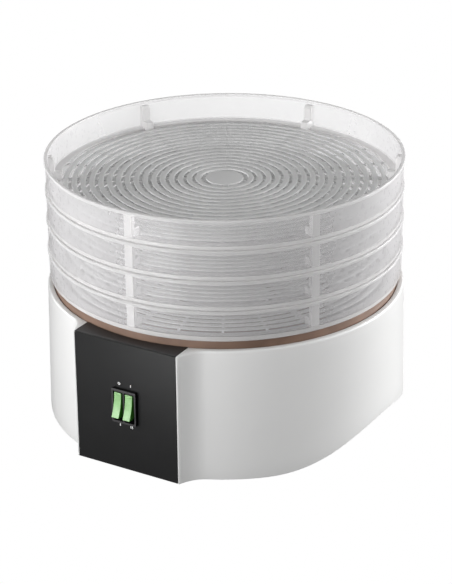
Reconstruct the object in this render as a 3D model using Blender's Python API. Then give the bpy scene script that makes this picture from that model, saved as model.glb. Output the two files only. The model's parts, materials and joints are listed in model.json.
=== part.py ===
"""A round stacking food dehydrator: a heater and fan base carrying four lift-off trays.

Units are metres, +Z is up and the control panel faces -Y. The origin is on the table,
on the axis of the trays. Trays are numbered from the bottom one.
"""
import math

import bmesh
import bpy
from mathutils import Matrix, Vector

MM = 0.001
GAP = 0.3 * MM                       # air left between two pieces that touch
PAST = 1.0 * MM                      # how far a cutter runs past the face that it opens

# ---- driving dimensions -------------------------------------------------------------
RIM_RADIUS = 162.5 * MM              # outside of a tray's lip
TRAY_COUNT = 4
TRAY_PITCH = 27.9 * MM               # height that each tray adds to the stack
FOOT_GAP = 1.4 * MM                  # table to the housing's lower edge
BASE_HEIGHT = 123.8 * MM             # height of the housing
BASE_FOOT_RADIUS = 166.0 * MM        # housing radius at its lower edge
BASE_TOP_RADIUS = 163.5 * MM         # housing radius just under its top edge
PANEL_REACH = 170.5 * MM             # axis to the face of the control panel
PANEL_HALF_WIDTH = 51.9 * MM
BORDER = 1.5 * MM                    # white edge of the housing beside the panel
WALL = 2.5 * MM                      # moulded wall of the housing and the covers
PANEL_THICK = 2.3 * MM
EDGE_ROUND = [(0.0, 2.6 * MM), (0.3 * MM, 1.0 * MM), (1.3 * MM, 0.0)]   # inset, depth below top
EDGE_FACE_SHARE = 0.7                # the flat front is softened less than the round wall
EDGE_BORDER_SHARE = 0.5
STACK_GAP = 8.7 * MM                 # open band between the housing and the lowest tray
ARCH_RISE = 23.7 * MM                # air intake arch in the housing's lower edge
ARCH_HALF_SPAN = 123.0 * MM
SEGMENTS = 36                        # sides of a full-size round piece

# ---- heights worked out from them ---------------------------------------------------
BASE_TOP = FOOT_GAP + BASE_HEIGHT
TRAY_SEAT = BASE_TOP + STACK_GAP     # underside of the lowest tray's outer band
LOWEST_RIM = TRAY_SEAT + TRAY_PITCH - GAP
COVER_TOP = 29.5 * MM                # upper face of the bottom cover
LEDGE_TOP = BASE_TOP - 9.5 * MM      # ledge inside the housing that carries the air deck
DECK_TOP = LEDGE_TOP + GAP + WALL
CAP_SEAT = DECK_TOP + 9.0 * MM       # top of the post that carries the drip cap

# ---- tray section, heights measured down from the rim ------------------------------
LIP_DEPTH = 2.5 * MM
LIP_INNER = RIM_RADIUS - 3.5 * MM
WALL_OUTER = RIM_RADIUS - 0.9 * MM
FLOOR_LEVEL = 24.2 * MM
FLOOR_THICK = 2.0 * MM
BAND_RADIUS = RIM_RADIUS - 1.9 * MM
SKIRT_RADIUS = LIP_INNER - 0.8 * MM
SKIRT_THICK = 1.7 * MM
SKIRT_DROP = 2.0 * MM                # how far a skirt enters the lip below it
DECK_RADIUS = SKIRT_RADIUS - 0.6 * MM
MOUTH_RADIUS = DECK_RADIUS + 0.8 * MM
RIB_COUNT = 6
RIB_WIDTH = 7.6 * MM
RIB_TOP = 3.5 * MM
RIB_STEP = 17.8 * MM
RIB_SLIM = 5.0 * MM                  # depth of a rib above its step
RIB_DEEP = 12.0 * MM                 # depth of a rib below its step
RIB_CHAMFER = 2.5 * MM
FLOOR_SLOT = 3.6 * MM                # width of a slot in the tray floor
FLOOR_SLOT_RADII = [(30 + 22 * i) * MM for i in range(6)]
FLOOR_SPOKE = 6.0 * MM
FLOOR_SECTORS = 6

# ---- air slots in the bottom cover and the deck -------------------------------------
AIR_SLOT = 3.8 * MM
AIR_SLOT_COUNT = 30
AIR_SLOT_SPAN = (28.0 * MM, 69.0 * MM)

# ---- switch -------------------------------------------------------------------------
SWITCH_Z = 65.0 * MM
BEZEL_PROUD = 4.0 * MM
BEZEL_HALF = (12.5 * MM, 16.4 * MM)
SWITCH_HALF = (11.4 * MM, 15.2 * MM)
CAVITY_X = (1.0 * MM, 10.4 * MM)
CAVITY_HALF_Z = 14.2 * MM
SWITCH_BACK = -150.0 * MM
ROCKER_X = 5.7 * MM                  # centre of each rocker, left and right of the middle
ROCKER_HALF_WIDTH = 4.1 * MM
ROCKER_HALF_LENGTH = 11.6 * MM
ROCKER_FACE = 9.6 * MM               # pivot to the ends of the rocker's face
ROCKER_TILT = math.radians(12.0)     # half of the rocker's travel
ROCKER_PIVOT_Y = -168.1 * MM
PIVOT_RADIUS = 1.5 * MM

# ---- fan, motor and heater ----------------------------------------------------------
SHAFT_RADIUS = 2.5 * MM
SHAFT_HOLE = SHAFT_RADIUS + GAP
SHAFT_Z = (31.0 * MM, 90.0 * MM)
DUCT_RADIUS = 74.0 * MM
DUCT_WALL = 1.2 * MM
MOTOR_SCREW_X = 20.0 * MM
MOTOR_SCREW_HOLE = 2.4 * MM
CORE_Z = (38.6 * MM, 56.6 * MM)
CORE_HALF_WIDTH = 26.0 * MM
CORE_Y = (-50.0 * MM, 24.0 * MM)
WINDOW_X = 15.0 * MM                 # half width of the window that the coil fills
WINDOW_Y = (-38.0 * MM, -26.0 * MM)
ROTOR_RADIUS = 12.6 * MM
BRACKET_THICK = 2.0 * MM
BRACKET_HALF_DEPTH = 7.0 * MM
CUP_HEIGHT = 6.5 * MM                # bearing cup of a motor bracket
CUP_RADIUS = 8.2 * MM
BEARING_RADIUS = 6.0 * MM
HUB_RADIUS = 12.0 * MM
HUB_Z = (68.0 * MM, 81.0 * MM)
BLADE_COUNT = 5
HEATER_RADIUS = 50.0 * MM
HEATER_TUBE = 3.2 * MM
HEATER_Z = 98.0 * MM
HEATER_STUB_X = 8.7 * MM
CLIP_SHEET = 1.4 * MM
CLIP_WIDTH = 8.0 * MM
GLAND_Z = 45.0 * MM
GLAND_HOLE = 6.5 * MM

# ---- posts, screws and feet ---------------------------------------------------------
LEG_PLACE = 95.5 * MM                # x and y of each leg of the bottom cover
LEG_RADIUS = 10.0 * MM
FOOT_THICK = 3.7 * MM
BOSS_ANGLES = [math.radians(a) for a in (20, 160, 200, 340)]
BOSS_RADIUS = 154.0 * MM
BOSS_SPAN = (148.0 * MM, 164.0 * MM)
BOSS_HALF_WIDTH = 6.0 * MM
BOSS_TOP = 48.0 * MM
LEDGE_RADIUS = 155.0 * MM            # inner edge of the ledge that carries the deck
SCREW_HOLE = 2.1 * MM


# ---- scene helpers ------------------------------------------------------------------
def clear_scene():
    for obj in list(bpy.data.objects):
        bpy.data.objects.remove(obj, do_unlink=True)


def material(name, color, roughness, metallic=0.0, alpha=1.0):
    mat = bpy.data.materials.new(name)
    mat.use_nodes = True
    shader = mat.node_tree.nodes["Principled BSDF"]
    shader.inputs["Base Color"].default_value = (*color, 1.0)
    shader.inputs["Roughness"].default_value = roughness
    shader.inputs["Metallic"].default_value = metallic
    shader.inputs["Alpha"].default_value = alpha
    return mat


def pivot(name, location):
    """An empty that marks a joint: the pieces of a moving body are its children."""
    empty = bpy.data.objects.new(name, None)
    empty.empty_display_size = 0.02
    empty.location = location
    bpy.context.scene.collection.objects.link(empty)
    return empty


def add_object(name, bm, mat=None, parent=None, location=(0, 0, 0)):
    """Turn a bmesh into a named object, smooth except at its edges."""
    bmesh.ops.remove_doubles(bm, verts=bm.verts, dist=1e-7)
    bmesh.ops.recalc_face_normals(bm, faces=bm.faces)
    mesh = bpy.data.meshes.new(name)
    bm.to_mesh(mesh)
    bm.free()
    mesh.shade_smooth()
    mesh.set_sharp_from_angle(angle=math.radians(32))
    obj = bpy.data.objects.new(name, mesh)
    bpy.context.scene.collection.objects.link(obj)
    obj.parent = parent
    obj.location = location
    if mat:
        mesh.materials.append(mat)
    return obj


def tool(name, bm):
    """An object that only cuts or joins another one."""
    obj = add_object(name, bm)
    obj.hide_render = True
    obj.display_type = "WIRE"
    return obj


def combine(obj, suffix, bodies, offset, operation):
    """Boolean of the object and closed bodies, which are given from the object's own origin."""
    helper = tool(obj.name + suffix, moved(merge(*bodies), offset))
    modifier = obj.modifiers.new(helper.name, "BOOLEAN")
    modifier.operation = operation
    modifier.solver = "EXACT"
    modifier.object = helper


def cut(obj, *bodies, offset=(0, 0, 0)):
    combine(obj, "_cut", bodies, offset, "DIFFERENCE")


def join(obj, *bodies, offset=(0, 0, 0)):
    """The bodies overlap the object, but not each other."""
    combine(obj, "_join", bodies, offset, "UNION")


# ---- shape helpers ------------------------------------------------------------------
def merge(*bodies):
    """Gather several bmeshes into one."""
    whole = bmesh.new()
    for bm in bodies:
        mesh = bpy.data.meshes.new("part")
        bm.to_mesh(mesh)
        bm.free()
        whole.from_mesh(mesh)
        bpy.data.meshes.remove(mesh)
    return whole


def turned(profile, steps=SEGMENTS):
    """Spin a closed section of (radius, height) points about Z."""
    bm = bmesh.new()
    verts = [bm.verts.new((r, 0, z)) for r, z in profile]
    edges = [bm.edges.new((a, b)) for a, b in zip(verts, verts[1:] + verts[:1])]
    bmesh.ops.spin(bm, geom=verts + edges, axis=(0, 0, 1), cent=(0, 0, 0),
                   angle=math.tau, steps=steps, use_merge=True)
    bmesh.ops.remove_doubles(bm, verts=bm.verts, dist=1e-7)
    bmesh.ops.dissolve_degenerate(bm, edges=bm.edges, dist=1e-7)
    on_axis = [e for e in bm.edges if all(math.hypot(v.co.x, v.co.y) < 1e-7 for v in e.verts)]
    bmesh.ops.delete(bm, geom=on_axis, context="EDGES")
    bmesh.ops.recalc_face_normals(bm, faces=bm.faces)
    return bm


def ring(inner, outer, low, high, steps=SEGMENTS):
    return turned([(inner, low), (outer, low), (outer, high), (inner, high)], steps)


def disc(radius, low, high, steps=16):
    """An upright cylinder on the Z axis with plain end caps."""
    bm = bmesh.new()
    bmesh.ops.create_cone(bm, cap_ends=True, segments=steps, radius1=radius, radius2=radius,
                          depth=high - low)
    bmesh.ops.translate(bm, verts=bm.verts, vec=(0, 0, (low + high) / 2))
    return bm


def prism(outline, low, high):
    """Extrude a flat (x, y) outline from one height to another."""
    bm = bmesh.new()
    face = bm.faces.new([bm.verts.new((x, y, low)) for x, y in outline])
    extruded = bmesh.ops.extrude_face_region(bm, geom=[face])
    top = [v for v in extruded["geom"] if isinstance(v, bmesh.types.BMVert)]
    bmesh.ops.translate(bm, verts=top, vec=(0, 0, high - low))
    bmesh.ops.recalc_face_normals(bm, faces=bm.faces)
    return bm


def block(x, y, z):
    """A box between two limits on each axis."""
    return prism([(x[0], y[0]), (x[1], y[0]), (x[1], y[1]), (x[0], y[1])], *z)


def moved(bm, offset=(0, 0, 0), turn=0.0, axis="Z"):
    bm.transform(Matrix.Translation(Vector(offset)) @ Matrix.Rotation(turn, 4, axis))
    return bm


def along_x(outline, low, high):
    """Extrude a (y, z) outline along X."""
    swap = Matrix(((0, 0, 1, 0), (1, 0, 0, 0), (0, 1, 0, 0), (0, 0, 0, 1)))
    bm = prism(outline, low, high)
    bm.transform(swap)
    return bm


def radial_plate(section, width, angle):
    """Extrude a (radius, height) section to a plate of one width, facing one angle."""
    swap = Matrix(((1, 0, 0, 0), (0, 0, -1, 0), (0, 1, 0, 0), (0, 0, 0, 1)))
    bm = prism(section, -width / 2, width / 2)
    bm.transform(Matrix.Rotation(angle, 4, "Z") @ swap)
    return bm


def arc_slots(low, high):
    """The curved slots of a tray floor, parted by straight-sided spokes under the ribs."""
    slots = []
    steps = 3
    for radius in FLOOR_SLOT_RADII:
        for sector in range(FLOOR_SECTORS):
            middle = rib_angle(sector + 0.5)
            outline = []
            for side, way in ((-1, 1), (1, -1)):
                r = radius + side * FLOOR_SLOT / 2
                half = math.pi / FLOOR_SECTORS - math.asin(FLOOR_SPOKE / 2 / r)
                for step in range(steps + 1):
                    a = middle + way * half * (2 * step / steps - 1)
                    outline.append((r * math.cos(a), r * math.sin(a)))
            slots.append(prism(outline, low, high))
    return slots


def radial_slots(low, high):
    """A ring of straight air slots that point at the axis."""
    slots = []
    for i in range(AIR_SLOT_COUNT):
        bar = block(AIR_SLOT_SPAN, (-AIR_SLOT / 2, AIR_SLOT / 2), (low, high))
        slots.append(moved(bar, turn=math.tau * (i + 0.5) / AIR_SLOT_COUNT))
    return slots


def loft(loops):
    """Skin a stack of closed loops with the same number of points into a closed tube."""
    bm = bmesh.new()
    rows = [[bm.verts.new(p) for p in loop] for loop in loops]
    for row, above in zip(rows, rows[1:] + rows[:1]):
        for i in range(len(row)):
            j = (i + 1) % len(row)
            bm.faces.new((row[i], row[j], above[j], above[i]))
    bmesh.ops.recalc_face_normals(bm, faces=bm.faces)
    return bm


def wire(name, points, radius, mat, sides=2, per_span=3):
    """A round lead along a smooth curve through the given points."""
    curve = bpy.data.curves.new(name, "CURVE")
    curve.dimensions = "3D"
    curve.bevel_depth = radius
    curve.bevel_resolution = sides
    curve.use_fill_caps = True
    path = smooth_path([Vector(p) * MM for p in points], per_span)
    spline = curve.splines.new("POLY")
    spline.points.add(len(path) - 1)
    for point, place in zip(spline.points, path):
        point.co = (*place, 1.0)
    curve.materials.append(mat)
    obj = bpy.data.objects.new(name, curve)
    bpy.context.scene.collection.objects.link(obj)
    return obj


def smooth_path(points, per_span):
    """Points along a Catmull-Rom curve."""
    ends = [2 * points[0] - points[1]] + points + [2 * points[-1] - points[-2]]
    path = []
    for a, b, c, d in zip(ends, ends[1:], ends[2:], ends[3:]):
        for step in range(per_span):
            t = step / per_span
            path.append(0.5 * (2 * b + (c - a) * t + (2 * a - 5 * b + 4 * c - d) * t ** 2
                               + (3 * b - 3 * c + d - a) * t ** 3))
    return path + [points[-1]]


# ---- outline of the base ------------------------------------------------------------
FACE_STEPS = 6
BLEND_STEPS = 4
ROUND_STEPS = 38
BLEND_ANGLE = math.radians(25)       # where the round wall takes over from the panel block
BLEND_PULL = 12.0 * MM


def base_outline(radius, reach, half_width):
    """Plan of the base, counter-clockwise: flat front, hollow blends, round wall."""
    face = [(half_width * (2 * i / FACE_STEPS - 1), -reach) for i in range(FACE_STEPS)]
    corner = Vector((half_width, -reach))
    end = radius * Vector((math.sin(BLEND_ANGLE), -math.cos(BLEND_ANGLE)))
    pull = end - BLEND_PULL * Vector((math.cos(BLEND_ANGLE), math.sin(BLEND_ANGLE)))
    blend = []
    for i in range(BLEND_STEPS):
        t = i / BLEND_STEPS
        blend.append(corner * (1 - t) ** 2 + pull * 2 * t * (1 - t) + end * t ** 2)
    first = BLEND_ANGLE - math.pi / 2
    sweep = math.tau - 2 * BLEND_ANGLE
    wall = []
    for i in range(ROUND_STEPS + 1):
        a = first + sweep * i / ROUND_STEPS
        wall.append((radius * math.cos(a), radius * math.sin(a)))
    mirrored = [(-p.x, p.y) for p in reversed(blend[1:])]
    return face + [tuple(p) for p in blend] + wall + mirrored


def circle_like(outline, radius):
    """The same number of points, moved onto a circle."""
    return [tuple(Vector(p).normalized() * radius) for p in outline]


def level(outline, z):
    return [(x, y, z) for x, y in outline]


# ---- base: housing and covers -------------------------------------------------------
def build_housing(mat):
    border = PANEL_HALF_WIDTH + BORDER
    inside = PANEL_REACH - 2 * WALL
    inner_top = base_outline(BASE_TOP_RADIUS - WALL, inside, border - WALL)
    inner_foot = base_outline(BASE_FOOT_RADIUS - WALL, inside, border - WALL)
    loops = [level(base_outline(BASE_FOOT_RADIUS, PANEL_REACH, border), FOOT_GAP)]
    for inset, depth in EDGE_ROUND:
        edge = base_outline(BASE_TOP_RADIUS - inset, PANEL_REACH - EDGE_FACE_SHARE * inset,
                            border - EDGE_BORDER_SHARE * inset)
        loops.append(level(edge, BASE_TOP - depth))
    mouth = circle_like(edge, MOUTH_RADIUS)
    ledge = circle_like(edge, LEDGE_RADIUS)
    loops += [level(mouth, BASE_TOP), level(mouth, LEDGE_TOP), level(ledge, LEDGE_TOP),
              level(ledge, LEDGE_TOP - WALL), level(inner_top, LEDGE_TOP - 2 * WALL),
              level(inner_foot, FOOT_GAP)]
    housing = add_object("housing", loft(loops), mat)
    bosses = []
    holes = []
    for angle in BOSS_ANGLES:
        boss = block(BOSS_SPAN, (-BOSS_HALF_WIDTH, BOSS_HALF_WIDTH), (COVER_TOP + GAP, BOSS_TOP))
        bosses.append(moved(boss, turn=angle))
        hole = disc(SCREW_HOLE, COVER_TOP - PAST, BOSS_TOP - 2 * MM, 8)
        holes.append(moved(hole, polar(BOSS_RADIUS, angle)))
    join(housing, *bosses)
    cut(housing, panel_recess(), arch(), *holes)
    gland_hole = moved(disc(GLAND_HOLE, -12 * MM, 12 * MM),
                       (0, BASE_FOOT_RADIUS - WALL / 2, GLAND_Z), math.pi / 2, "X")
    cut(housing, switch_tunnel(0.6 * MM), gland_hole)


def panel_recess():
    """Room in the housing's front block for the panel and its folded top strip."""
    slack = PANEL_HALF_WIDTH + GAP
    ahead = -PANEL_REACH - 20 * MM
    back = -PANEL_REACH + PANEL_THICK + GAP
    strip_back = -140 * MM
    under = BASE_TOP - PANEL_THICK + 0.2 * MM
    above = BASE_TOP + 15 * MM
    below = -10 * MM
    return along_x([(ahead, below), (back, below), (back, under), (strip_back, under),
                    (strip_back, above), (ahead, above)], -slack, slack)


def arch():
    """The raised-cosine intake arch that runs right through under the base."""
    steps = 20
    below = -10 * MM
    past = PANEL_REACH + 30 * MM
    top = []
    for i in range(steps + 1):
        y = ARCH_HALF_SPAN * (1 - 2 * i / steps)
        rise = ARCH_RISE * (1 + math.cos(math.pi * y / ARCH_HALF_SPAN)) / 2
        top.append((y, FOOT_GAP + rise))
    outline = [(-ARCH_HALF_SPAN, below), (ARCH_HALF_SPAN, below)] + top
    return along_x(outline, -past, past)


def polar(radius, angle, z=0.0):
    return (radius * math.cos(angle), radius * math.sin(angle), z)


def switch_tunnel(slack):
    """The rectangular way through panel and housing for the switch body."""
    half_x, half_z = SWITCH_HALF
    return block((-half_x - slack, half_x + slack), (-PANEL_REACH - 10 * MM, -PANEL_REACH + 10 * MM),
                 (SWITCH_Z - half_z - slack, SWITCH_Z + half_z + slack))


def build_panel(mat):
    """Black front plate whose top edge folds back to the round deck."""
    front = -PANEL_REACH
    low = FOOT_GAP + GAP
    high = BASE_TOP + 0.5 * MM
    strip_low = high - PANEL_THICK
    width = (-PANEL_HALF_WIDTH, PANEL_HALF_WIDTH)
    panel = add_object("control_panel",
                       block(width, (front, front + PANEL_THICK), (low, high)), mat)
    back_edge = []
    steps = 8
    reach = MOUTH_RADIUS
    half = math.asin(PANEL_HALF_WIDTH / reach)
    for i in range(steps + 1):
        a = half * (1 - 2 * i / steps)
        back_edge.append((reach * math.sin(a), -reach * math.cos(a)))
    start = front + 1.0 * MM
    strip = [(-PANEL_HALF_WIDTH, start), (PANEL_HALF_WIDTH, start)] + back_edge
    join(panel, prism(strip, strip_low, high))
    cut(panel, switch_tunnel(0.3 * MM))
    return panel


def build_bottom_cover(mat):
    """Plate that closes the base, with the intake grille, motor posts and four legs."""
    slack = 0.4 * MM
    taper = 0.7 * MM                     # the housing narrows this much towards the cover
    plan = base_outline(BASE_FOOT_RADIUS - WALL - taper - slack, PANEL_REACH - 2 * WALL - slack,
                        PANEL_HALF_WIDTH + BORDER - WALL - slack)
    low = COVER_TOP - WALL
    cover = add_object("bottom_cover", prism(plan, low, COVER_TOP), mat)
    legs = []
    wells = []
    for x in (-LEG_PLACE, LEG_PLACE):
        for y in (-LEG_PLACE, LEG_PLACE):
            legs.append(moved(disc(LEG_RADIUS, FOOT_THICK + GAP, low + PAST, 14), (x, y, 0)))
            well = disc(LEG_RADIUS - 2 * MM, FOOT_THICK + 2 * MM, COVER_TOP + PAST, 10)
            wells.append(moved(well, (x, y, 0)))
    posts = []
    for x in (-MOTOR_SCREW_X, MOTOR_SCREW_X):
        top = CORE_Z[0] - BRACKET_THICK - 2 * GAP
        posts.append(moved(disc(4.5 * MM, low + PAST, top, 12), (x, 0, 0)))
        wells.append(moved(disc(MOTOR_SCREW_HOLE, low + 1.2 * MM, top + PAST, 8), (x, 0, 0)))
    join(cover, *legs, *posts)
    screws = []
    for angle in BOSS_ANGLES:
        screws.append(moved(disc(SCREW_HOLE, low - PAST, COVER_TOP + PAST, 8),
                            polar(BOSS_RADIUS, angle)))
    cut(cover, *wells, *screws, *radial_slots(low - PAST, COVER_TOP + PAST))


def build_feet(mat):
    number = 0
    for x in (-LEG_PLACE, LEG_PLACE):
        for y in (-LEG_PLACE, LEG_PLACE):
            number += 1
            profile = [(0, 0), (LEG_RADIUS - 1.2 * MM, 0), (LEG_RADIUS, 1.2 * MM),
                       (LEG_RADIUS, FOOT_THICK), (0, FOOT_THICK)]
            add_object(f"foot_{number}", turned(profile, 16), mat, location=(x, y, 0))


def build_air_deck(mat):
    """Heat-proof top plate with the outlet slots, a seat and a collar for the lowest tray."""
    low = LEDGE_TOP + GAP
    outer = DECK_RADIUS
    seat = TRAY_SEAT - SKIRT_DROP - GAP
    collar_outer = SKIRT_RADIUS - SKIRT_THICK - 0.5 * MM
    collar_inner = collar_outer - 2.0 * MM
    collar_top = TRAY_SEAT + GAP
    profile = [(0, low), (outer, low), (outer, seat), (collar_outer, seat),
               (collar_outer, collar_top), (collar_inner, collar_top), (collar_inner, DECK_TOP),
               (9 * MM, DECK_TOP), (9 * MM, CAP_SEAT), (0, CAP_SEAT)]
    deck = add_object("air_deck", turned(profile), mat)
    hole = disc(1.9 * MM, low + PAST, CAP_SEAT + PAST, 12)
    cut(deck, hole, *radial_slots(low - PAST, DECK_TOP + PAST))


def build_drip_cap(mat):
    """Shallow cap over the outlet that keeps juice out of the heater."""
    seat = CAP_SEAT + GAP
    thick = 1.6 * MM
    profile = [(2.3 * MM, seat), (12 * MM, seat), (70 * MM, seat - 1.2 * MM),
               (74 * MM, seat - 2.6 * MM), (75.4 * MM, seat - 2.2 * MM),
               (70.6 * MM, seat + 0.4 * MM), (12 * MM, seat + thick), (2.3 * MM, seat + thick)]
    add_object("drip_cap", turned(profile, 32), mat)
    return seat + thick


def screw(name, place, head_low, head_high, head_radius, shank_low, shank_high, radius, mat):
    """A round-headed screw: the head may be at either end of its shank."""
    if head_low >= shank_high:
        profile = [(0, shank_low), (radius, shank_low), (radius, shank_high),
                   (head_radius, shank_high), (head_radius * 0.85, head_high), (0, head_high)]
    else:
        profile = [(0, head_low), (head_radius * 0.85, head_low), (head_radius, shank_low),
                   (radius, shank_low), (radius, shank_high), (0, shank_high)]
    return add_object(name, turned(profile, 10), mat, location=place)


def build_screws(mat, cap_top):
    for number, angle in enumerate(BOSS_ANGLES, 1):
        under = COVER_TOP - WALL - GAP
        screw(f"cover_screw_{number}", polar(BOSS_RADIUS, angle), under - 2.4 * MM, under,
              3.6 * MM, under, 43.0 * MM, 1.7 * MM, mat)
    for number, x in enumerate((-MOTOR_SCREW_X, MOTOR_SCREW_X), 1):
        top = CORE_Z[1] + BRACKET_THICK + 2 * GAP
        screw(f"motor_screw_{number}", (x, 0, 0), top, top + 2.6 * MM, 3.8 * MM,
              COVER_TOP - 0.5 * MM, top, 1.9 * MM, mat)
    top = cap_top + GAP
    screw("cap_screw", (0, 0, 0), top, top + 2.2 * MM, 4.0 * MM, DECK_TOP, top, 1.5 * MM, mat)


# ---- switch -------------------------------------------------------------------------
def build_switch_body(mat):
    half_x, half_z = BEZEL_HALF
    front = -PANEL_REACH - BEZEL_PROUD
    bezel = block((-half_x, half_x), (front, -PANEL_REACH - GAP),
                  (SWITCH_Z - half_z, SWITCH_Z + half_z))
    body = add_object("switch_body", bezel, mat)
    half_x, half_z = SWITCH_HALF
    join(body, block((-half_x, half_x), (front + 1 * MM, SWITCH_BACK),
                     (SWITCH_Z - half_z, SWITCH_Z + half_z)))
    height = (SWITCH_Z - CAVITY_HALF_Z, SWITCH_Z + CAVITY_HALF_Z)
    depth = (front - PAST, ROCKER_PIVOT_Y + 12 * MM)
    cavities = [block((side * CAVITY_X[0], side * CAVITY_X[1])[::side], depth, height)
                for side in (1, -1)]
    cut(body, *cavities)
    bearing = disc(PIVOT_RADIUS + GAP, -20 * MM, 20 * MM, 12)
    cut(body, moved(bearing, (0, ROCKER_PIVOT_Y, SWITCH_Z), math.pi / 2, "Y"))


def build_rocker(name, x, mat):
    """A green rocker, at rest with its top end pressed in."""
    hub = pivot(name + "_pivot", (x, ROCKER_PIVOT_Y, SWITCH_Z))
    length = ROCKER_HALF_LENGTH
    hollow = 1.5 * MM
    face = []
    steps = 6
    for i in range(steps + 1):
        z = length * (1 - 2 * i / steps)
        face.append((-ROCKER_FACE + hollow * (1 - (z / length) ** 2), z))
    back = [(-4.0 * MM, -11.0 * MM), (3.0 * MM, -3.0 * MM), (3.0 * MM, 3.0 * MM),
            (-4.0 * MM, 11.0 * MM)]
    half = ROCKER_HALF_WIDTH
    shape = moved(along_x(face + back, -half, half), turn=-ROCKER_TILT, axis="X")
    rocker = add_object(name, shape, mat, parent=hub)
    reach = half + 1.0 * MM
    pins = moved(disc(PIVOT_RADIUS, -reach, reach, 12), turn=math.pi / 2, axis="Y")
    join(rocker, pins, offset=hub.location)


def build_switch_tabs(mat):
    number = 0
    for x in (-ROCKER_X, ROCKER_X):
        for z in (SWITCH_Z - 7 * MM, SWITCH_Z + 7 * MM):
            number += 1
            add_object(f"switch_tab_{number}",
                       block((x - 2.4 * MM, x + 2.4 * MM), (SWITCH_BACK + GAP, SWITCH_BACK + 8.7 * MM),
                             (z - 0.4 * MM, z + 0.4 * MM)), mat)


# ---- motor and fan ------------------------------------------------------------------
def motor_screw_holes(low, high):
    return [moved(disc(MOTOR_SCREW_HOLE, low - PAST, high + PAST, 8), (x, 0, 0))
            for x in (-MOTOR_SCREW_X, MOTOR_SCREW_X)]


def build_motor(mats):
    """Shaded-pole motor: laminated core, coil on its rear bar, two bearing brackets."""
    low, high = CORE_Z
    half = CORE_HALF_WIDTH
    core = add_object("motor_core", block((-half, half), CORE_Y, CORE_Z), mats["steel"])
    past = (low - PAST, high + PAST)
    cut(core, disc(ROTOR_RADIUS + 2 * GAP, *past, 24), block((-WINDOW_X, WINDOW_X), WINDOW_Y, past),
        *motor_screw_holes(low, high))

    coil_y = (CORE_Y[0] - 8 * MM, WINDOW_Y[1] - 4.3 * MM)
    coil_half = WINDOW_X - 0.5 * MM
    winding = block((-coil_half, coil_half), coil_y, (low - 7 * MM, high + 7 * MM))
    coil = add_object("motor_coil", winding, mats["copper"])
    bevel = coil.modifiers.new("rounded winding", "BEVEL")
    bevel.width = 2.5 * MM
    bevel.segments = 2
    cut(coil, block((-half, half), (CORE_Y[0] - GAP, WINDOW_Y[0] + GAP), (low - GAP, high + GAP)))

    depth = (-BRACKET_HALF_DEPTH, BRACKET_HALF_DEPTH)
    for name, strap_low, cup_low in (("lower", low - GAP - BRACKET_THICK, low - 7.1 * MM),
                                     ("upper", high + GAP, high + 0.6 * MM)):
        strap_high = strap_low + BRACKET_THICK
        cup = (cup_low, cup_low + CUP_HEIGHT)
        bracket = add_object(f"motor_bracket_{name}",
                             block((-half, half), depth, (strap_low, strap_high)), mats["zinc"])
        join(bracket, disc(CUP_RADIUS, *cup))
        cut(bracket, disc(BEARING_RADIUS + GAP, cup[0] - PAST, cup[1] + PAST),
            *motor_screw_holes(strap_low, strap_high))
        add_object(f"motor_bearing_{name}",
                   ring(SHAFT_HOLE, BEARING_RADIUS, cup[0] + GAP, cup[1] - 0.5 * MM, 16),
                   mats["bronze"])


def build_fan(mats):
    """Everything that turns: shaft, rotor, impeller and the nut that holds it."""
    spin = pivot("fan_axis", (0, 0, 0))
    add_object("fan_shaft", disc(SHAFT_RADIUS, *SHAFT_Z, 12), mats["steel"], spin)
    inset = 0.5 * MM
    add_object("motor_rotor", ring(SHAFT_HOLE, ROTOR_RADIUS, CORE_Z[0] + inset, CORE_Z[1] - inset,
                                   20), mats["zinc"], spin)
    impeller = add_object("fan_impeller", disc(HUB_RADIUS, *HUB_Z, 20), mats["alu"], spin)
    join(impeller, *[fan_blade(math.tau * i / BLADE_COUNT) for i in range(BLADE_COUNT)])
    cut(impeller, disc(SHAFT_HOLE, HUB_Z[0] - PAST, HUB_Z[1] + PAST, 12))
    nut_low = HUB_Z[1] + GAP
    add_object("impeller_nut", ring(SHAFT_RADIUS + 0.7 * MM, 5.5 * MM, nut_low, nut_low + 4.7 * MM,
                                    6), mats["zinc"], spin)


def fan_blade(turn):
    """A twisted blade, steep at the hub and flat at the tip."""
    stations = [(9, 5.6, 52), (36, 17, 34), (64, 24, 22)]    # radius, half chord mm, pitch deg
    thick = 0.8 * MM
    height = sum(HUB_Z) / 2
    bm = bmesh.new()
    rows = []
    for radius, half, pitch in stations:
        a = math.radians(pitch)
        chord = Vector((0, math.cos(a), math.sin(a))) * half * MM
        normal = Vector((0, -math.sin(a), math.cos(a))) * thick
        middle = Vector((radius * MM, 0, height))
        rows.append([bm.verts.new(middle + c + n) for c, n in
                     ((-chord, -normal), (chord, -normal), (chord, normal), (-chord, normal))])
    bm.faces.new(rows[0])
    bm.faces.new(reversed(rows[-1]))
    for row, after in zip(rows, rows[1:]):
        for i in range(4):
            j = (i + 1) % 4
            bm.faces.new((row[i], row[j], after[j], after[i]))
    bmesh.ops.recalc_face_normals(bm, faces=bm.faces)
    return moved(bm, turn=turn)


# ---- heater and air path ------------------------------------------------------------
def build_duct(mat):
    duct = add_object("air_duct", ring(DUCT_RADIUS - DUCT_WALL, DUCT_RADIUS, COVER_TOP + GAP,
                                       LEDGE_TOP, 36), mat)
    stub_hole = HEATER_TUBE + 1.8 * MM
    reach = 10 * MM
    holes = [moved(disc(stub_hole, -reach, reach, 12), (x, DUCT_RADIUS, HEATER_Z), math.pi / 2, "X")
             for x in (-HEATER_STUB_X, HEATER_STUB_X)]
    lead_slot = block((-9 * MM, 9 * MM), (-DUCT_RADIUS - reach / 2, -DUCT_RADIUS + reach / 2),
                      (33 * MM, 42 * MM))
    cut(duct, *holes, lead_slot)


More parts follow.
